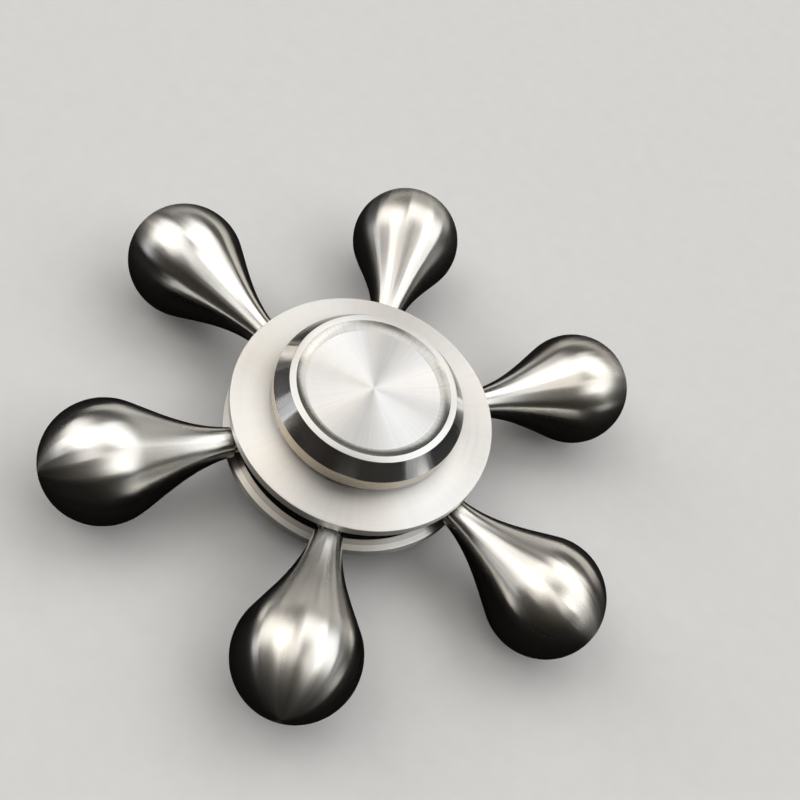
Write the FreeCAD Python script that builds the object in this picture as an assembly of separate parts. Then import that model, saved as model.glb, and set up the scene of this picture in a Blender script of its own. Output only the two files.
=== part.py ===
import FreeCAD, Part
import math
import os

# Fidget spinner with six teardrop arms round a flat hub that turns on a small ball bearing.
# Millimetres. +Z is the spin axis, +X runs along arm_1, and z = 0 is the surface that the
# lower cap's rim rests on. Every piece is first made about the middle plane of the hub and
# then lifted by MID_HEIGHT.

Vector = FreeCAD.Vector
CENTRE = Vector(0, 0, 0)
SPIN_AXIS = Vector(0, 0, 1)
ARM_AXIS = Vector(1, 0, 0)

# Hub: two thin plates on a turned wall
PLATE_RADIUS = 15.0
PLATE_THICKNESS = 1.2
WALL_RADIUS = 14.3
WALL_HEIGHT = 4.0
SPIGOT_RADIUS = 9.0
SPIGOT_SHORTFALL = 0.1
PLATE_EDGE_ROUND = 0.1

# Teardrop arms, measured along the arm from the spin axis
ARM_COUNT = 6
STUD_RADIUS = 1.25
STUD_CLEARANCE = 0.05
STUD_START = 9.8
STUD_END_CHAMFER = 0.3
HOLE_BOTTOM = 9.6
NECK_START = 14.8
NECK_RADIUS = 1.65
NECK_ROUND = 0.15
NECK_SLOPE = 0.12
NECK_HANDLE = 4.2
BULB_CENTRE = 28.4
BULB_RADIUS = 6.7
BULB_TANGENT_START = 25.2
BULB_HANDLE = 3.0

# Finger caps
CAP_RADIUS = 10.7
CAP_GAP = 1.0
CAP_BAND_HEIGHT = 1.8
CAP_CHAMFER_HEIGHT = 1.9
CAP_RIM_RADIUS = 9.3
CAP_BOTTOM_ROUND = 0.15
CAP_EDGE_ROUND = 0.08
DISH_RIM_RADIUS = 8.6
DISH_FLOOR_RADIUS = 7.5
DISH_DEPTH = 0.5
BOSS_RADIUS = 4.0
POST_CLEARANCE = 0.025
POST_GAP = 0.2
THREAD_RADIUS = 1.95
THREAD_CLEARANCE = 0.05
THREAD_LENGTH = 2.4
THREAD_HOLE_DEPTH = 2.6

# Shielded inch bearing of size R188
BEARING_BORE_RADIUS = 3.175
BEARING_OUTER_RADIUS = 6.35
BEARING_WIDTH = 4.762
INNER_LAND_RADIUS = 4.06
OUTER_LAND_RADIUS = 5.35
BALL_COUNT = 10
BALL_RADIUS = 0.992
RACE_CLEARANCE = 0.048
CAGE_CLEARANCE = 0.3
CAGE_BOTTOM = -1.35
CAGE_TOP = 0.55
POCKET_CLEARANCE = 0.04
SHIELD_SEAT_RADIUS = 5.75
SHIELD_SEAT_HEIGHT = 1.75
SHIELD_THICKNESS = 0.23
SHIELD_INNER_RADIUS = 4.25
SHIELD_EDGE_GAP = 0.03
SNAP_GROOVE_RADIUS = 5.95
SNAP_GROOVE_WIDTH = 0.22
SNAP_RING_INNER_RADIUS = 5.45
SNAP_RING_THICKNESS = 0.2
SNAP_RING_OPENING = 24.0

# Heights above the middle plane that follow from the sizes above
PLATE_BOTTOM = WALL_HEIGHT / 2
PLATE_TOP = PLATE_BOTTOM + PLATE_THICKNESS
CAP_BOTTOM = PLATE_TOP + CAP_GAP
CAP_BAND_TOP = CAP_BOTTOM + CAP_BAND_HEIGHT
CAP_TOP = CAP_BAND_TOP + CAP_CHAMFER_HEIGHT
BEARING_FACE = BEARING_WIDTH / 2
BALL_PITCH_RADIUS = (BEARING_BORE_RADIUS + BEARING_OUTER_RADIUS) / 2
MID_HEIGHT = CAP_TOP


def turned(outline):
    """Solid of revolution about the spin axis from a closed outline of (radius, height)."""
    corners = [Vector(radius, 0, height) for radius, height in outline]
    wire = Part.makePolygon(corners + corners[:1])
    return Part.Face(wire).revolve(CENTRE, SPIN_AXIS, 360)


def both_halves(upper_half):
    """Full outline from the upper half of one that is the same above and below z = 0."""
    return upper_half + [(radius, -height) for radius, height in reversed(upper_half)]


def rounded(solid, rims, radius):
    """Rounds the circular edges that lie at the given (radius, height) pairs."""
    edges = []
    for edge in solid.Edges:
        curve = edge.Curve
        if not isinstance(curve, Part.Circle):
            continue
        for rim_radius, rim_height in rims:
            same_size = abs(curve.Radius - rim_radius) < 1e-4
            same_height = abs(curve.Center.z - rim_height) < 1e-4
            if same_size and same_height:
                edges.append(edge)
    return solid.makeFillet(radius, edges)


def about_spin_axis(solid, degrees):
    """Copy of a solid turned about the spin axis."""
    copy = solid.copy()
    copy.rotate(CENTRE, SPIN_AXIS, degrees)
    return copy


def turned_over(solid):
    """Copy of an upper piece, turned over so that it fits the underside of the hub."""
    copy = solid.copy()
    copy.rotate(CENTRE, ARM_AXIS, 180)
    return copy


def plate():
    """Thin round plate that presses on to the wall's spigot, made as the upper one."""
    ring = turned([
        (SPIGOT_RADIUS, PLATE_BOTTOM),
        (PLATE_RADIUS, PLATE_BOTTOM),
        (PLATE_RADIUS, PLATE_TOP),
        (SPIGOT_RADIUS, PLATE_TOP),
    ])
    rims = [(PLATE_RADIUS, PLATE_BOTTOM), (PLATE_RADIUS, PLATE_TOP)]
    return rounded(ring, rims, PLATE_EDGE_ROUND)


def hub_core():
    """Turned wall between the plates, with the bearing's seat and a hole for each arm."""
    spigot_top = PLATE_TOP - SPIGOT_SHORTFALL
    core = turned(both_halves([
        (BEARING_OUTER_RADIUS, spigot_top),
        (SPIGOT_RADIUS, spigot_top),
        (SPIGOT_RADIUS, PLATE_BOTTOM),
        (WALL_RADIUS, PLATE_BOTTOM),
    ]))
    hole_radius = STUD_RADIUS + STUD_CLEARANCE
    hole_length = PLATE_RADIUS - HOLE_BOTTOM
    hole = Part.makeCylinder(hole_radius, hole_length, Vector(HOLE_BOTTOM, 0, 0), ARM_AXIS)
    for index in range(ARM_COUNT):
        core = core.cut(about_spin_axis(hole, index * 360 / ARM_COUNT))
    return core


def arm():
    """Teardrop weight with its threaded stud, turned about the arm's own axis, along +X."""
    tangent_radius = math.sqrt(BULB_RADIUS**2 - (BULB_CENTRE - BULB_TANGENT_START)**2)
    tangent_slope = (BULB_CENTRE - BULB_TANGENT_START) / tangent_radius
    neck_begin = Vector(NECK_START + NECK_ROUND, 0, NECK_RADIUS)
    bulb_begin = Vector(BULB_TANGENT_START, 0, tangent_radius)
    neck = Part.BezierCurve()
    neck.setPoles([
        neck_begin,
        neck_begin + Vector(NECK_HANDLE, 0, NECK_HANDLE * NECK_SLOPE),
        bulb_begin - Vector(BULB_HANDLE, 0, BULB_HANDLE * tangent_slope),
        bulb_begin,
    ])
    bulb_side = Vector(BULB_CENTRE, 0, BULB_RADIUS)
    bulb_tip = Vector(BULB_CENTRE + BULB_RADIUS, 0, 0)
    bulb = Part.Arc(bulb_begin, bulb_side, bulb_tip)
    stud = Part.makePolygon([
        bulb_tip,
        Vector(STUD_START, 0, 0),
        Vector(STUD_START, 0, STUD_RADIUS - STUD_END_CHAMFER),
        Vector(STUD_START + STUD_END_CHAMFER, 0, STUD_RADIUS),
        Vector(NECK_START, 0, STUD_RADIUS),
        Vector(NECK_START, 0, NECK_RADIUS - NECK_ROUND),
        neck_begin,
    ])
    outline = Part.Wire([neck.toShape(), bulb.toShape()] + stud.Edges)
    return Part.Face(outline).revolve(CENTRE, ARM_AXIS, 360)


def cap_body(post_end):
    """Finger cap with its boss and its post down to post_end, made as the upper one."""
    post_radius = BEARING_BORE_RADIUS - POST_CLEARANCE
    button = turned([
        (0, post_end),
        (post_radius, post_end),
        (post_radius, BEARING_FACE),
        (BOSS_RADIUS, BEARING_FACE),
        (BOSS_RADIUS, CAP_BOTTOM),
        (CAP_RADIUS, CAP_BOTTOM),
        (CAP_RADIUS, CAP_BAND_TOP),
        (CAP_RIM_RADIUS, CAP_TOP),
        (DISH_RIM_RADIUS, CAP_TOP),
        (DISH_FLOOR_RADIUS, CAP_TOP - DISH_DEPTH),
        (0, CAP_TOP - DISH_DEPTH),
    ])
    upper_rims = [(CAP_RADIUS, CAP_BAND_TOP), (CAP_RIM_RADIUS, CAP_TOP), (DISH_RIM_RADIUS, CAP_TOP)]
    button = rounded(button, [(CAP_RADIUS, CAP_BOTTOM)], CAP_BOTTOM_ROUND)
    return rounded(button, upper_rims, CAP_EDGE_ROUND)


def upper_cap():
    """Cap whose post has the threaded hole."""
    post_end = POST_GAP / 2
    hole_radius = THREAD_RADIUS + THREAD_CLEARANCE
    hole = Part.makeCylinder(hole_radius, THREAD_HOLE_DEPTH, Vector(0, 0, post_end))
    return cap_body(post_end).cut(hole)


def lower_cap():
    """Cap whose post ends in the threaded stud that screws into the upper cap."""
    post_end = POST_GAP / 2
    stud = Part.makeCylinder(THREAD_RADIUS, THREAD_LENGTH, Vector(0, 0, post_end), -SPIN_AXIS)
    return turned_over(cap_body(post_end).fuse(stud).removeSplitter())


def race_groove():
    """Ring-shaped tool that cuts the rounded ball track into either race."""
    return Part.makeTorus(BALL_PITCH_RADIUS, BALL_RADIUS + RACE_CLEARANCE)


def bearing_inner_ring():
    """Inner race, which the caps clamp between their bosses."""
    ring = turned(both_halves([
        (BEARING_BORE_RADIUS, BEARING_FACE),
        (INNER_LAND_RADIUS, BEARING_FACE),
    ]))
    return ring.cut(race_groove())


def bearing_outer_ring():
    """Outer race, with a seat and a snap groove for the shield on each side."""
    groove_bottom = SHIELD_SEAT_HEIGHT + SHIELD_THICKNESS
    groove_top = groove_bottom + SNAP_GROOVE_WIDTH
    ring = turned(both_halves([
        (OUTER_LAND_RADIUS, SHIELD_SEAT_HEIGHT),
        (SHIELD_SEAT_RADIUS, SHIELD_SEAT_HEIGHT),
        (SHIELD_SEAT_RADIUS, groove_bottom),
        (SNAP_GROOVE_RADIUS, groove_bottom),
        (SNAP_GROOVE_RADIUS, groove_top),
        (SHIELD_SEAT_RADIUS, groove_top),
        (SHIELD_SEAT_RADIUS, BEARING_FACE),
        (BEARING_OUTER_RADIUS, BEARING_FACE),
    ]))
    return ring.cut(race_groove())


def bearing_balls():
    """Group of separate balls, evenly spaced round the pitch circle."""
    first = Part.makeSphere(BALL_RADIUS, Vector(BALL_PITCH_RADIUS, 0, 0))
    balls = [about_spin_axis(first, index * 360 / BALL_COUNT) for index in range(BALL_COUNT)]
    return Part.makeCompound(balls)


def bearing_cage():
    """Crown cage: a band between the races with a round pocket for each ball, open above."""
    inner_radius = INNER_LAND_RADIUS + CAGE_CLEARANCE
    outer_radius = OUTER_LAND_RADIUS - CAGE_CLEARANCE
    cage = turned([
        (inner_radius, CAGE_BOTTOM),
        (outer_radius, CAGE_BOTTOM),
        (outer_radius, CAGE_TOP),
        (inner_radius, CAGE_TOP),
    ])
    pocket = Part.makeSphere(BALL_RADIUS + POCKET_CLEARANCE, Vector(BALL_PITCH_RADIUS, 0, 0))
    for index in range(BALL_COUNT):
        cage = cage.cut(about_spin_axis(pocket, index * 360 / BALL_COUNT))
    return cage


def bearing_shield():
    """Flat shield that closes one side of the bearing, made as the upper one."""
    shield_top = SHIELD_SEAT_HEIGHT + SHIELD_THICKNESS
    outer_radius = SHIELD_SEAT_RADIUS - SHIELD_EDGE_GAP
    return turned([
        (SHIELD_INNER_RADIUS, SHIELD_SEAT_HEIGHT),
        (outer_radius, SHIELD_SEAT_HEIGHT),
        (outer_radius, shield_top),
        (SHIELD_INNER_RADIUS, shield_top),
    ])


def shield_snap_ring():
    """Split ring that holds a shield in its seat, made as the upper one."""
    bottom = SHIELD_SEAT_HEIGHT + SHIELD_THICKNESS
    top = bottom + SNAP_RING_THICKNESS
    outer_radius = SNAP_GROOVE_RADIUS - SHIELD_EDGE_GAP
    corners = [
        Vector(SNAP_RING_INNER_RADIUS, 0, bottom),
        Vector(outer_radius, 0, bottom),
        Vector(outer_radius, 0, top),
        Vector(SNAP_RING_INNER_RADIUS, 0, top),
    ]
    section = Part.Face(Part.makePolygon(corners + corners[:1]))
    return section.revolve(CENTRE, SPIN_AXIS, 360 - SNAP_RING_OPENING)


def write_part(name, shape):
    """Lifts a finished piece from the middle plane to its place and writes it."""
    placed = shape.copy()
    placed.translate(Vector(0, 0, MID_HEIGHT))
    placed.exportStep(os.path.join("parts", name + ".step"))


def main():
    os.makedirs("parts", exist_ok=True)
    write_part("upper_plate", plate())
    write_part("lower_plate", turned_over(plate()))
    write_part("hub_core", hub_core())
    for index in range(ARM_COUNT):
        write_part(f"arm_{index + 1}", about_spin_axis(arm(), index * 360 / ARM_COUNT))
    write_part("upper_cap", upper_cap())
    write_part("lower_cap", lower_cap())
    write_part("bearing_inner_ring", bearing_inner_ring())
    write_part("bearing_outer_ring", bearing_outer_ring())
    write_part("bearing_balls", bearing_balls())
    write_part("bearing_cage", bearing_cage())
    write_part("bearing_shield_upper", bearing_shield())
    write_part("bearing_shield_lower", turned_over(bearing_shield()))
    write_part("shield_snap_ring_upper", shield_snap_ring())
    write_part("shield_snap_ring_lower", turned_over(shield_snap_ring()))


main()
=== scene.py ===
import math

import bmesh
import bpy
from mathutils import Matrix, Quaternion, Vector


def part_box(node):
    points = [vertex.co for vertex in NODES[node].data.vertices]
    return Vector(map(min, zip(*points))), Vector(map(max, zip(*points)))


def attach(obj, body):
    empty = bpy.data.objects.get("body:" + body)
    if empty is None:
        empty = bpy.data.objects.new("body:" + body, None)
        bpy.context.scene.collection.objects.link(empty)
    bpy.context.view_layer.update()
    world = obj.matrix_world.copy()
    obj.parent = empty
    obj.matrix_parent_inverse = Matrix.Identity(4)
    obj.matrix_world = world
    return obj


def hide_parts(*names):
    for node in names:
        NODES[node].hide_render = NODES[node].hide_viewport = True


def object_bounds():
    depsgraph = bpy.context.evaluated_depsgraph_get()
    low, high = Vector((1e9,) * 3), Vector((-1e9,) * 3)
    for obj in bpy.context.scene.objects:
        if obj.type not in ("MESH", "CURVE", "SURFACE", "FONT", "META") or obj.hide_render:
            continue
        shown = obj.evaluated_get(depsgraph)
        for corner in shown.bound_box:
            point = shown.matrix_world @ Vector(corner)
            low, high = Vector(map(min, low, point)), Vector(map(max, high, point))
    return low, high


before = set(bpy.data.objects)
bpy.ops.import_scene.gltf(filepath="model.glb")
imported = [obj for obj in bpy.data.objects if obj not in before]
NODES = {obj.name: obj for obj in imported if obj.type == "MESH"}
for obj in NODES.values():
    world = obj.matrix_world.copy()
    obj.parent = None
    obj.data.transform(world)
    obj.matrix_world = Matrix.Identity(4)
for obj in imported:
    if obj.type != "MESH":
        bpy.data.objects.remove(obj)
CAD_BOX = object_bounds()
MM = 0.001

# The object's own frame: it spins about Z, and its middle plane is halfway up.
FLOOR_HEIGHT = CAD_BOX[0].z
MIDDLE = (CAD_BOX[0].z + CAD_BOX[1].z) / 2
PLATE_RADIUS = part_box("upper_plate")[1].x
PLATE_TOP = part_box("upper_plate")[1].z
ARM_COUNT = 6
ARM_TURN = 2 * math.pi / ARM_COUNT

# Camera: round and above the object, then turned about its own line of sight.
CAMERA_ROUND = math.radians(18.36)
CAMERA_ABOVE = math.radians(54.98)
CAMERA_TURN = math.radians(27.53)
CAMERA_DISTANCE = 8.237 * PLATE_RADIUS
CAMERA_RIGHT = 0.2061 * PLATE_RADIUS
CAMERA_UP = 0.1729 * PLATE_RADIUS
LENS = 49.94
SENSOR = 36.0

# The stage, in metres.
FLOOR_RADIUS = 8.0
LAMP_DISTANCE = 12.0

# Finger caps, half outline in millimetres above the middle plane.
CAP_RADIUS = 10.7
CAP_BOTTOM = 4.2
CAP_BAND_TOP = 6.0
CAP_TOP = 7.9
CAP_RIM_RADIUS = 9.3
DISH_RIM_RADIUS = 8.6
DISH_FLOOR_RADIUS = 7.5
DISH_FLOOR = 7.4
BOSS_RADIUS = 4.0
POST_RADIUS = 3.15
POST_END = 0.1
BEARING_FACE = 2.381
HOLE_RADIUS = 2.0
HOLE_END = 2.7
STUD_RADIUS = 1.95
STUD_END = -2.3
BOTTOM_ROUND = 0.15

# Teardrop arms, half outline in millimetres along the arm from the spin axis.
ARM_STUD_START = 9.8
ARM_STUD_RADIUS = 1.25
ARM_STUD_CHAMFER = 0.3
NECK_START = 14.8
NECK_RADIUS = 1.65
NECK_ROUND = 0.15
NECK_SLOPE = 0.12
NECK_HANDLE = 4.2
BULB_CENTRE = 28.4
BULB_RADIUS = 6.7
BULB_TANGENT_START = 25.2
BULB_HANDLE = 3.0
NECK_STEPS = 20
BULB_STEPS = 32
ARM_STEPS = 96

# Rounded edges of the caps, in millimetres, and how finely arcs and turned pieces are divided.
EDGE_ROUND = 0.08
ROUND_STEPS = 4
TURN_STEPS = 256

# Faces that meet at more than this angle are shaded with an edge between them.
SHARP_EDGE = math.radians(35)

# Turned steel spreads its highlights across its grooves, a quarter turn from them.
ACROSS_THE_GROOVES = 0.25

# Noise mostly stays between these, so what is spread by it starts and ends there.
NOISE_LOW = 0.3
NOISE_HIGH = 0.7

# Slight colours steel takes on, multiplied into its own, and the noise that they start and end at.
WARM = (1.02, 1.0, 0.96)
COOL = (0.985, 1.0, 1.015)
TINT_LOW = 0.35
TINT_HIGH = 0.65

# Relief of a fine finish, in metres.
FINE_RELIEF = 0.6e-6

# Turning marks: how often rings, tints and rays change on the way round, and how many times wider the
# broad rings are. Rings are counted by the radius less a multiple of the height, so that upright and
# sloping faces have them too.
RING_CHANGES = 1.2
BROAD_RING = 6
BROAD_RING_CHANGES = 0.8
HEIGHT_IN_RINGS = 1.7
TINT_CHANGES = 1.4
RAY_CHANGES = 20.0
RAY_DETAIL = 5.0

# Width of the soft patches on turned and on plain steel.
TURNED_PATCH = 5 * MM
PLAIN_PATCH = 2 * MM

# Worn edges with a painted highlight: how far from the edge they reach, how many samples find them, how
# soon they show, how much they take of a lighter colour that is a painted highlight, how much lighter
# that is, and what share of the least roughness they lose as real wear.
WEAR_AND_HIGHLIGHT_REACH = 0.12 * MM
WEAR_AND_HIGHLIGHT_SAMPLES = 4
WEAR_AND_HIGHLIGHT_GAIN = 6.0
EDGE_HIGHLIGHT_SHARE = 0.35
EDGE_HIGHLIGHT_LIGHTER = 1.12
WORN_SMOOTHER = 0.3

# The arms' finish: rings round each arm, streaks along it, and soft patches. The streaks lean the
# surface to one side and the other by the sway.
ARM_DARK = (0.63, 0.61, 0.575)
ARM_LIGHT = (0.79, 0.775, 0.745)
ARM_ROUGHNESS = (0.26, 0.31)
ARM_STRETCH = 0.85
ARM_PATCH = 6 * MM
ARM_TINTS_PER_METRE = 90.0
ARM_RING = 0.35 * MM
ARM_RING_CHANGES = 1.5
STREAK = 14 * MM
STREAK_CHANGES = 5.0
STREAK_SHADE = (0.88, 1.08)
STREAK_SWAY = 0.06

# The floor and the room, as the camera and as the metal see them.
PAPER_DARK = (0.60, 0.60, 0.595)
PAPER_LIGHT = (0.64, 0.64, 0.635)
PAPER_MOTTLES_PER_METRE = 400.0
PAPER_RELIEF = 20e-6
FLOOR_IN_METAL = (0.003, 0.0025, 0.002)
BACKDROP = (0.62, 0.62, 0.62)
ROOM_BELOW = (0.004, 0.0035, 0.003)
ROOM_ABOVE = (0.050, 0.043, 0.034)
ROOM_ABOVE_HEIGHT = 0.7


class Tree:
    """One material's nodes, built round its Principled shader."""

    def __init__(self, name):
        self.material = bpy.data.materials.new(name)
        self.material.use_nodes = True
        self.nodes = self.material.node_tree.nodes
        self.links = self.material.node_tree.links
        self.shader = self.nodes["Principled BSDF"]
        self.place = self.nodes.new("ShaderNodeTexCoord").outputs["Object"]

    def put(self, socket, value):
        """Links another node's output to an input, or sets the input's own value."""
        if isinstance(value, bpy.types.NodeSocket):
            self.links.new(value, socket)
        else:
            socket.default_value = value

    def finish(self, **values):
        """Sets the shader's inputs, named with underscores for spaces."""
        for name, value in values.items():
            self.put(self.shader.inputs[name.replace("_", " ")], value)
        return self.material

    def number(self, operation, a, b=0.0):
        node = self.nodes.new("ShaderNodeMath")
        node.operation = operation
        self.put(node.inputs[0], a)
        self.put(node.inputs[1], b)
        return node.outputs[0]

    def vector(self, operation, a, b=(0, 0, 0)):
        node = self.nodes.new("ShaderNodeVectorMath")
        node.operation = operation
        self.put(node.inputs[0], a)
        self.put(node.inputs[1], b)
        return node.outputs["Value" if operation in ("LENGTH", "DOT_PRODUCT") else "Vector"]

    def scaled(self, a, factor):
        node = self.nodes.new("ShaderNodeVectorMath")
        node.operation = "SCALE"
        self.put(node.inputs[0], a)
        self.put(node.inputs["Scale"], factor)
        return node.outputs["Vector"]

    def joined(self, x, y, z):
        node = self.nodes.new("ShaderNodeCombineXYZ")
        for socket, value in zip(node.inputs, (x, y, z)):
            self.put(socket, value)
        return node.outputs[0]

    def split(self, vector):
        node = self.nodes.new("ShaderNodeSeparateXYZ")
        self.put(node.inputs[0], vector)
        return node.outputs

    def noise(self, vector, scale, detail=2.0, along=None):
        """Noise from 0 to 1. along adds a fourth coordinate."""
        node = self.nodes.new("ShaderNodeTexNoise")
        node.noise_dimensions = "3D" if along is None else "4D"
        self.put(node.inputs["Vector"], vector)
        node.inputs["Scale"].default_value = scale
        node.inputs["Detail"].default_value = detail
        if along is not None:
            self.put(node.inputs["W"], along)
        return node.outputs["Fac"]

    def between(self, value, low, high, from_low=0.0, from_high=1.0):
        """value taken from one range to another, and kept inside it."""
        node = self.nodes.new("ShaderNodeMapRange")
        self.put(node.inputs["Value"], value)
        node.inputs["From Min"].default_value = from_low
        node.inputs["From Max"].default_value = from_high
        self.put(node.inputs["To Min"], low)
        self.put(node.inputs["To Max"], high)
        return node.outputs[0]

    def spread(self, noise, low, high):
        """Noise spread over the range from low to high."""
        return self.between(noise, low, high, NOISE_LOW, NOISE_HIGH)

    def shared(self, a, b, share):
        """That share of a, and b for the rest."""
        rest = self.number("MULTIPLY", b, 1.0 - share)
        return self.number("ADD", self.number("MULTIPLY", a, share), rest)

    def rings(self, outwards, changes, along, spacing, detail=2.0):
        """Noise in rings about an axis, that far apart along it, changing that often on the way round."""
        turned = self.scaled(outwards, changes)
        return self.noise(turned, 1.0, detail, self.number("DIVIDE", along, spacing))

    def mixed(self, factor, a, b):
        """Colour a where factor is 0 and colour b where it is 1."""
        node = self.nodes.new("ShaderNodeMix")
        node.data_type = "RGBA"
        self.put(node.inputs["Factor"], factor)
        self.put(node.inputs[6], (*a, 1) if isinstance(a, tuple) else a)
        self.put(node.inputs[7], (*b, 1) if isinstance(b, tuple) else b)
        return node.outputs[2]

    def tinted(self, colour, noise):
        """A colour made slightly warmer or cooler by noise."""
        tint = self.mixed(self.between(noise, 0.0, 1.0, TINT_LOW, TINT_HIGH), WARM, COOL)
        return self.vector("MULTIPLY", colour, tint)

    def bump(self, height, depth):
        """Normals of a relief that deep, in metres, between height 0 and 1."""
        node = self.nodes.new("ShaderNodeBump")
        node.inputs["Strength"].default_value = 1.0
        node.inputs["Distance"].default_value = depth
        self.put(node.inputs["Height"], height)
        return node.outputs[0]

    def wear_and_highlight_mask(self):
        """0 on a face and towards 1 beside an edge, where edges are worn smoother and lightened as a
        painted highlight.
        """
        bevel = self.nodes.new("ShaderNodeBevel")
        bevel.samples = WEAR_AND_HIGHLIGHT_SAMPLES
        bevel.inputs["Radius"].default_value = WEAR_AND_HIGHLIGHT_REACH
        geometry = self.nodes.new("ShaderNodeNewGeometry")
        same = self.vector("DOT_PRODUCT", bevel.outputs[0], geometry.outputs["Normal"])
        return self.between(self.number("SUBTRACT", 1.0, same), 0.0, 1.0, 0.0, 1.0 / WEAR_AND_HIGHLIGHT_GAIN)


def round_z(tree):
    """For a piece turned about the spin axis: radius, direction outwards, and height."""
    x, y, z = tree.split(tree.place)
    flat = tree.joined(x, y, 0.0)
    return tree.vector("LENGTH", flat), tree.vector("NORMALIZE", flat), z


def lathe_marks(tree, spacing, changes):
    """Fine rings left by turning about the spin axis."""
    radius, outwards, height = round_z(tree)
    across = tree.number("SUBTRACT", radius, tree.number("MULTIPLY", height, HEIGHT_IN_RINGS))
    return tree.rings(outwards, changes, across, spacing)


def handling(tree, size, detail=3.0):
    """Soft patches, as where fingers and cloth have touched the metal."""
    return tree.noise(tree.place, 1.0 / size, detail)


def turned_tangent(tree):
    node = tree.nodes.new("ShaderNodeTangent")
    node.direction_type = "RADIAL"
    node.axis = "Z"
    return node.outputs[0]


def turned_steel(name, dark, light, rough, stretch, marks=0.15 * MM, depth=FINE_RELIEF, rays=0.0):
    """Steel turned about the spin axis. rough is the least and most roughness, stretch the anisotropy,
    marks the spacing of the rings, depth their relief, and rays how much the shade changes on the way
    round."""
    tree = Tree(name)
    outwards = round_z(tree)[1]
    rings = lathe_marks(tree, marks, RING_CHANGES)
    broad_rings = lathe_marks(tree, BROAD_RING * marks, BROAD_RING_CHANGES)
    patches = handling(tree, TURNED_PATCH)
    wear_and_highlight_mask = tree.wear_and_highlight_mask()
    # The lighter colour along the edges is a painted highlight; only the lower roughness there is real
    # wear.
    painted_edge_highlight_colour = tuple(min(1.0, EDGE_HIGHLIGHT_LIGHTER * part) for part in light)
    colour = tree.mixed(tree.shared(rings, patches, 0.5), dark, light)
    colour = tree.mixed(tree.number("MULTIPLY", wear_and_highlight_mask, EDGE_HIGHLIGHT_SHARE), colour, painted_edge_highlight_colour)
    colour = tree.tinted(colour, tree.noise(outwards, TINT_CHANGES))
    shade = tree.spread(tree.noise(outwards, RAY_CHANGES, RAY_DETAIL), 1.0 - rays, 1.0 + rays)
    roughness = tree.spread(tree.shared(broad_rings, patches, 0.6), *rough)
    smoother = tree.number("MULTIPLY", wear_and_highlight_mask, WORN_SMOOTHER * rough[0])
    return tree.finish(
        Base_Color=tree.scaled(colour, shade),
        Metallic=1.0,
        Roughness=tree.number("SUBTRACT", roughness, smoother),
        Anisotropic=stretch,
        Anisotropic_Rotation=ACROSS_THE_GROOVES,
        Tangent=turned_tangent(tree),
        Normal=tree.bump(rings, depth),
    )


def round_arm(tree):
    """For an arm's surface: distance along the arm, direction outwards from its axis, and the surface's
    normal and its tangent round the arm."""
    x, y, _ = tree.split(tree.place)
    turns = tree.number("DIVIDE", tree.number("ARCTAN2", y, x), ARM_TURN)
    turn = tree.number("MULTIPLY", tree.number("ROUND", turns), ARM_TURN)
    axis = tree.joined(tree.number("COSINE", turn), tree.number("SINE", turn), 0.0)
    along = tree.vector("DOT_PRODUCT", tree.place, axis)
    middle = tree.vector("SUBTRACT", tree.place, (0, 0, MIDDLE))
    outwards = tree.vector("NORMALIZE", tree.vector("SUBTRACT", middle, tree.scaled(axis, along)))
    to_world = tree.nodes.new("ShaderNodeVectorTransform")
    to_world.vector_type = "VECTOR"
    to_world.convert_from = "OBJECT"
    to_world.convert_to = "WORLD"
    tree.put(to_world.inputs[0], axis)
    normal = tree.nodes.new("ShaderNodeNewGeometry").outputs["Normal"]
    tangent = tree.vector("NORMALIZE", tree.vector("CROSS_PRODUCT", to_world.outputs[0], normal))
    return along, outwards, normal, tangent


def arm_steel():
    """Weights turned about their own axes, then satin polished along them."""
    tree = Tree("arm_steel")
    along, outwards, normal, tangent = round_arm(tree)
    rings = tree.rings(outwards, ARM_RING_CHANGES, along, ARM_RING, 1.0)
    streaks = tree.rings(outwards, STREAK_CHANGES, along, STREAK)
    patches = handling(tree, ARM_PATCH, 1.0)
    colour = tree.mixed(tree.shared(rings, patches, 0.25), ARM_DARK, ARM_LIGHT)
    colour = tree.tinted(colour, tree.noise(tree.place, ARM_TINTS_PER_METRE))
    sway = tree.scaled(tangent, tree.spread(streaks, -STREAK_SWAY, STREAK_SWAY))
    return tree.finish(
        Base_Color=tree.scaled(colour, tree.spread(streaks, *STREAK_SHADE)),
        Metallic=1.0,
        Roughness=tree.spread(tree.shared(patches, streaks, 0.4), *ARM_ROUGHNESS),
        Anisotropic=ARM_STRETCH,
        Anisotropic_Rotation=ACROSS_THE_GROOVES,
        Tangent=tangent,
        Normal=tree.vector("NORMALIZE", tree.vector("ADD", normal, sway)),
    )


def plain_steel(name, dark, light, rough, grain):
    """Small inner pieces: pressed, ground or drawn steel with a fine even grain."""
    tree = Tree(name)
    speckle = tree.noise(tree.place, 1.0 / grain, 3.0)
    patches = handling(tree, PLAIN_PATCH)
    return tree.finish(
        Base_Color=tree.mixed(tree.shared(speckle, patches, 0.5), dark, light),
        Metallic=1.0,
        Roughness=tree.spread(speckle, *rough),
        Normal=tree.bump(speckle, FINE_RELIEF),
    )


def corner(before, point, after, radius):
    """Points of an arc of that radius in place of an outline's corner."""
    here = Vector(point)
    to_before = (Vector(before) - here).normalized()
    to_after = (Vector(after) - here).normalized()
    half = to_before.angle(to_after) / 2
    reach = radius / math.tan(half)
    start, end = here + to_before * reach, here + to_after * reach
    centre = here + (to_before + to_after).normalized() * radius / math.sin(half)
    first, last = start - centre, end - centre
    swing = first.angle_signed(last)
    points = []
    for step in range(ROUND_STEPS + 1):
        part = Matrix.Rotation(-swing * step / ROUND_STEPS, 2) @ first
        points.append(tuple(centre + part))
    return points


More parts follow.
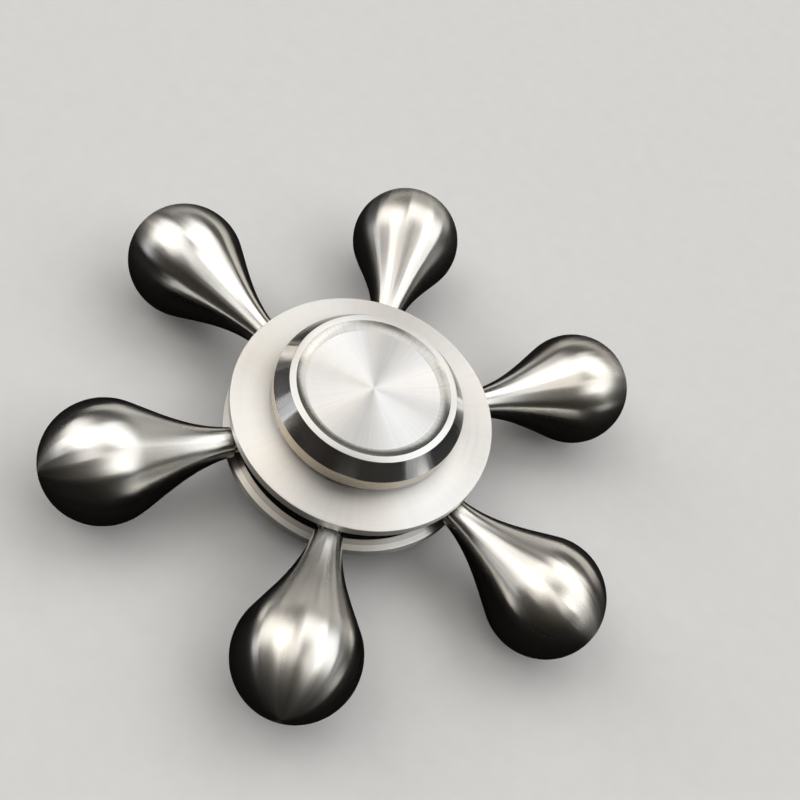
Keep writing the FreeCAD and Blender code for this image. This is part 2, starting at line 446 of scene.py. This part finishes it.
def cap_outline(inside):
    """A finger cap as the upper one: radius, height, finish of the span that follows, and rounding of
    each point. inside is the part that the two caps don't share."""
    return inside + [
        (POST_RADIUS, POST_END, "bore", 0),
        (POST_RADIUS, BEARING_FACE, "bore", 0),
        (BOSS_RADIUS, BEARING_FACE, "bore", 0),
        (BOSS_RADIUS, CAP_BOTTOM, "under", 0),
        (CAP_RADIUS, CAP_BOTTOM, "band", BOTTOM_ROUND),
        (CAP_RADIUS, CAP_BAND_TOP, "chamfer", EDGE_ROUND),
        (CAP_RIM_RADIUS, CAP_TOP, "rim", EDGE_ROUND),
        (DISH_RIM_RADIUS, CAP_TOP, "bevel", EDGE_ROUND),
        (DISH_FLOOR_RADIUS, DISH_FLOOR, "dish", 0),
        (0, DISH_FLOOR, "dish", 0),
    ]


def ring_points(outline):
    """The outline's points with its corners rounded, each with the finish of the span that follows."""
    found = []
    for index, (radius, height, finish, rounding) in enumerate(outline):
        if not rounding:
            found.append((radius, height, finish))
            continue
        before, after = outline[index - 1], outline[index + 1]
        arc = corner(before[:2], (radius, height), after[:2], rounding)
        found += [(r, h, finish) for r, h in arc]
    return found


def lathe(name, outline, finishes, place, steps):
    """A mesh turned about Z from an outline in millimetres, then put in place by that matrix."""
    points = ring_points(outline)
    names = list(finishes)
    made = bmesh.new()
    rings = []
    for radius, height, _ in points:
        if radius == 0:
            rings.append([made.verts.new(place @ Vector((0, 0, height * MM)))])
            continue
        turns = [step * 2 * math.pi / steps for step in range(steps)]
        flat = [(radius * math.cos(turn), radius * math.sin(turn)) for turn in turns]
        rings.append([made.verts.new(place @ Vector((x * MM, y * MM, height * MM))) for x, y in flat])
    for (_, _, finish), low, high in zip(points, rings, rings[1:]):
        for step in range(steps):
            after = (step + 1) % steps
            corners = [
                low[step % len(low)],
                low[after % len(low)],
                high[after % len(high)],
                high[step % len(high)],
            ]
            face = made.faces.new(list(dict.fromkeys(corners)))
            face.smooth = True
            face.material_index = names.index(finish)
    bmesh.ops.recalc_face_normals(made, faces=made.faces)
    mesh = bpy.data.meshes.new(name)
    made.to_mesh(mesh)
    made.free()
    mesh.set_sharp_from_angle(angle=SHARP_EDGE)
    for finish in names:
        mesh.materials.append(finishes[finish])
    piece = bpy.data.objects.new(name, mesh)
    bpy.context.scene.collection.objects.link(piece)
    return piece


def arm_outline():
    """The stud, the neck's curve and the round bulb, from the stud's inner end to the tip."""
    tangent_radius = math.sqrt(BULB_RADIUS**2 - (BULB_CENTRE - BULB_TANGENT_START)**2)
    tangent_slope = (BULB_CENTRE - BULB_TANGENT_START) / tangent_radius
    neck_begin = Vector((NECK_RADIUS, NECK_START + NECK_ROUND))
    bulb_begin = Vector((tangent_radius, BULB_TANGENT_START))
    poles = (
        neck_begin,
        neck_begin + Vector((NECK_HANDLE * NECK_SLOPE, NECK_HANDLE)),
        bulb_begin - Vector((BULB_HANDLE * tangent_slope, BULB_HANDLE)),
        bulb_begin,
    )
    outline = [
        (0, ARM_STUD_START, "arm", 0),
        (ARM_STUD_RADIUS - ARM_STUD_CHAMFER, ARM_STUD_START, "arm", 0),
        (ARM_STUD_RADIUS, ARM_STUD_START + ARM_STUD_CHAMFER, "arm", 0),
        (ARM_STUD_RADIUS, NECK_START, "arm", 0),
        (NECK_RADIUS, NECK_START, "arm", NECK_ROUND),
    ]
    for step in range(1, NECK_STEPS + 1):
        part = step / NECK_STEPS
        shares = ((1 - part)**3, 3 * part * (1 - part)**2, 3 * part**2 * (1 - part), part**3)
        radius, along = sum((pole * share for pole, share in zip(poles, shares)), Vector((0, 0)))
        outline.append((radius, along, "arm", 0))
    first = math.atan2(tangent_radius, BULB_TANGENT_START - BULB_CENTRE)
    for step in range(1, BULB_STEPS):
        angle = first * (1 - step / BULB_STEPS)
        radius, along = BULB_RADIUS * math.sin(angle), BULB_CENTRE + BULB_RADIUS * math.cos(angle)
        outline.append((radius, along, "arm", 0))
    return outline + [(0, BULB_CENTRE + BULB_RADIUS, "arm", 0)]


def make_arms():
    finishes = {"arm": arm_steel()}
    centre = Matrix.Translation((0, 0, MIDDLE))
    along_x = Matrix.Rotation(math.pi / 2, 4, "Y")
    for count in range(ARM_COUNT):
        place = centre @ Matrix.Rotation(count * ARM_TURN, 4, "Z") @ along_x
        arm = lathe(f"teardrop_arm_{count + 1}", arm_outline(), finishes, place, ARM_STEPS)
        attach(arm, "rotor")
        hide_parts(f"arm_{count + 1}")


def cap_finishes():
    """The finish of each part of a finger cap, with a painted reflection on the band and painted shade on
    the bevel.
    """
    return {
        "bore": plain_steel("cap_bore", (0.42, 0.41, 0.39), (0.56, 0.55, 0.52), (0.25, 0.4), 0.1 * MM),
        "under": turned_steel("cap_under", (0.50, 0.48, 0.45), (0.62, 0.60, 0.57), (0.22, 0.32), 0.5),
        # The band's darker beige-gold colour is a painted reflection, not the steel's own colour.
        "band": turned_steel(
            "cap_band_painted_reflection", (0.50, 0.45, 0.37), (0.60, 0.55, 0.46), (0.22, 0.3), 0.7, 0.1 * MM),
        "chamfer": turned_steel(
            "cap_chamfer", (0.60, 0.59, 0.585), (0.68, 0.67, 0.665), (0.16, 0.2), 0.9,
            0.05 * MM, 0.05e-6, rays=0.1),
        "rim": turned_steel(
            "cap_rim", (0.62, 0.615, 0.60), (0.68, 0.675, 0.66), (0.36, 0.42), 0.93,
            0.05 * MM, 0.1e-6),
        # The bevel's much darker colour is painted shade: it dims its reflections below the rest of the
        # same steel.
        "bevel": turned_steel(
            "cap_bevel_painted_shade", (0.35, 0.345, 0.33), (0.41, 0.405, 0.385), (0.17, 0.21), 0.9,
            0.05 * MM, 0.05e-6, rays=0.06),
        "dish": turned_steel(
            "cap_dish", (0.67, 0.665, 0.66), (0.75, 0.745, 0.74), (0.40, 0.45), 0.97,
            0.05 * MM, 0.1e-6, rays=0.04),
    }


def make_caps():
    finishes = cap_finishes()
    hole = [
        (0, HOLE_END, "bore", 0),
        (HOLE_RADIUS, HOLE_END, "bore", 0),
        (HOLE_RADIUS, POST_END, "bore", 0),
    ]
    stud = [
        (0, STUD_END, "bore", 0),
        (STUD_RADIUS, STUD_END, "bore", 0),
        (STUD_RADIUS, POST_END, "bore", 0),
    ]
    for name, inside, side, node in (
        ("upper_finger_cap", hole, 1, "upper_cap"),
        ("lower_finger_cap", stud, -1, "lower_cap"),
    ):
        place = Matrix.Translation((0, 0, MIDDLE)) @ Matrix.Diagonal((1, 1, side, 1))
        cap = lathe(name, cap_outline(inside), finishes, place, TURN_STEPS)
        even = cap.modifiers.new("even_normals", "WEIGHTED_NORMAL")
        even.keep_sharp = True
        even.weight = 100
        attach(cap, "finger_caps")
        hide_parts(node)


def dress(material, *names):
    """Gives CAD nodes that material."""
    for name in names:
        for entry in NODES[name].material_slots:
            entry.material = material


def dress_nodes():
    plate = turned_steel(
        "plate_steel", (0.64, 0.62, 0.595), (0.72, 0.705, 0.685), (0.42, 0.48), 0.92,
        0.06 * MM, 0.2e-6, rays=0.02)
    core = turned_steel(
        "core_steel", (0.52, 0.51, 0.48), (0.62, 0.61, 0.58), (0.06, 0.1), 0.3, 0.2 * MM, 0.15e-6)
    race = turned_steel(
        "race_steel", (0.50, 0.50, 0.50), (0.64, 0.64, 0.63), (0.12, 0.2), 0.4, 0.05 * MM)
    shield = turned_steel(
        "shield_steel", (0.50, 0.49, 0.47), (0.62, 0.61, 0.59), (0.2, 0.3), 0.5, 0.08 * MM)
    ball = plain_steel("ball_steel", (0.62, 0.62, 0.63), (0.70, 0.70, 0.71), (0.03, 0.06), 0.4 * MM)
    cage = plain_steel("cage_steel", (0.46, 0.44, 0.40), (0.60, 0.58, 0.53), (0.28, 0.4), 0.08 * MM)
    spring = plain_steel("spring_steel", (0.36, 0.35, 0.34), (0.50, 0.49, 0.47), (0.2, 0.32), 0.06 * MM)
    dress(plate, "upper_plate", "lower_plate")
    dress(core, "hub_core")
    dress(race, "bearing_inner_ring", "bearing_outer_ring")
    dress(shield, "bearing_shield_upper", "bearing_shield_lower")
    dress(ball, "bearing_balls")
    dress(cage, "bearing_cage")
    dress(spring, "shield_snap_ring_upper", "shield_snap_ring_lower")


def make_camera():
    data = bpy.data.cameras.new("camera")
    data.sensor_width = SENSOR
    data.lens = LENS
    data.clip_start = 0.005
    camera = bpy.data.objects.new("camera", data)
    bpy.context.scene.collection.objects.link(camera)
    turn = Matrix.Rotation(CAMERA_ROUND, 3, "Z")
    ahead = turn @ Vector((0, math.cos(CAMERA_ABOVE), -math.sin(CAMERA_ABOVE)))
    level = turn @ Vector((1, 0, 0))
    upright = turn @ Vector((0, math.sin(CAMERA_ABOVE), math.cos(CAMERA_ABOVE)))
    right = level * math.cos(CAMERA_TURN) + upright * math.sin(CAMERA_TURN)
    up = upright * math.cos(CAMERA_TURN) - level * math.sin(CAMERA_TURN)
    place = Vector((0, 0, PLATE_TOP)) - ahead * CAMERA_DISTANCE + level * CAMERA_RIGHT + upright * CAMERA_UP
    camera.matrix_world = Matrix((right, up, -ahead)).transposed().to_4x4()
    camera.matrix_world.translation = place
    bpy.context.scene.camera = camera


def lamp(name, around, above, size, brightness, colour, turned=0.0):
    """A softbox seen from the object at those angles, of that width and height, turned about its own
    middle, all in degrees. Its size doesn't change how bright its reflection is."""
    width, height = (2 * LAMP_DISTANCE * math.tan(math.radians(side / 2)) for side in size)
    data = bpy.data.lights.new(name, "AREA")
    data.shape = "RECTANGLE"
    data.size = width
    data.size_y = height
    data.energy = brightness * math.pi * width * height
    data.color = colour
    light = bpy.data.objects.new(name, data)
    turn, tilt = math.radians(around), math.radians(above)
    towards = Vector((math.cos(turn) * math.cos(tilt), math.sin(turn) * math.cos(tilt), math.sin(tilt)))
    light.location = towards * LAMP_DISTANCE
    light.rotation_mode = "QUATERNION"
    about_middle = Quaternion((0, 0, 1), math.radians(turned))
    light.rotation_quaternion = towards.to_track_quat("Z", "Y") @ about_middle
    light.visible_camera = False
    bpy.context.scene.collection.objects.link(light)


def make_floor():
    """A plain pale floor that mirrors as dark in the metal, as a studio's black cards would."""
    tree = Tree("floor_paper")
    path = tree.nodes.new("ShaderNodeLightPath")
    mottle = tree.noise(tree.place, PAPER_MOTTLES_PER_METRE, 4.0)
    pale = tree.mixed(mottle, PAPER_DARK, PAPER_LIGHT)
    tree.finish(
        Base_Color=tree.mixed(path.outputs["Is Glossy Ray"], pale, FLOOR_IN_METAL),
        Roughness=0.9,
        Specular_IOR_Level=0.1,
        Normal=tree.bump(mottle, PAPER_RELIEF),
    )
    made = bmesh.new()
    bmesh.ops.create_circle(made, cap_ends=True, segments=96, radius=FLOOR_RADIUS)
    mesh = bpy.data.meshes.new("floor")
    made.to_mesh(mesh)
    made.free()
    mesh.materials.append(tree.material)
    floor = bpy.data.objects.new("floor", mesh)
    floor.location.z = FLOOR_HEIGHT
    bpy.context.scene.collection.objects.link(floor)


def make_world():
    """A pale backdrop to the camera. To the metal, a dim room that is darker still below the horizon."""
    world = bpy.data.worlds.new("room")
    world.use_nodes = True
    nodes, links = world.node_tree.nodes, world.node_tree.links
    path = nodes.new("ShaderNodeLightPath")
    place = nodes.new("ShaderNodeTexCoord")
    split = nodes.new("ShaderNodeSeparateXYZ")
    links.new(place.outputs["Generated"], split.inputs[0])
    ramp = nodes.new("ShaderNodeValToRGB")
    below, above = ramp.color_ramp.elements
    below.position = 0.0
    below.color = (*ROOM_BELOW, 1)
    above.position = ROOM_ABOVE_HEIGHT
    above.color = (*ROOM_ABOVE, 1)
    links.new(split.outputs[2], ramp.inputs[0])
    mix = nodes.new("ShaderNodeMix")
    mix.data_type = "RGBA"
    mix.inputs[7].default_value = (*BACKDROP, 1)
    links.new(path.outputs["Is Camera Ray"], mix.inputs["Factor"])
    links.new(ramp.outputs[0], mix.inputs[6])
    links.new(mix.outputs[2], nodes["Background"].inputs["Color"])
    bpy.context.scene.world = world


def make_stage():
    make_floor()
    make_world()
    lamp("overhead", 102, 62, (43, 42), 1.9, (1.0, 0.99, 0.98), 10)
    lamp("near_left", 234, 64, (40, 42), 1.3, (1.0, 0.98, 0.96))
    lamp("near_right", 346, 58, (32, 34), 1.2, (1.0, 0.99, 0.97))
    lamp("right_side", 37, 46, (56, 38), 1.7, (0.99, 1.0, 1.0))
    lamp("left_side", 193, 40, (42, 54), 1.85, (1.0, 0.98, 0.96))
    lamp("far_wall", 108, 9, (90, 17), 0.75, (1.0, 0.97, 0.92))
    lamp("left_low", 216, 9, (20, 14), 1.3, (0.94, 0.95, 1.0))
    lamp("right_low", 10, 10, (26, 15), 0.7, (0.97, 1.0, 0.97))
    bpy.context.scene.view_settings.view_transform = "Standard"


make_camera()
make_caps()
make_arms()
dress_nodes()
make_stage()
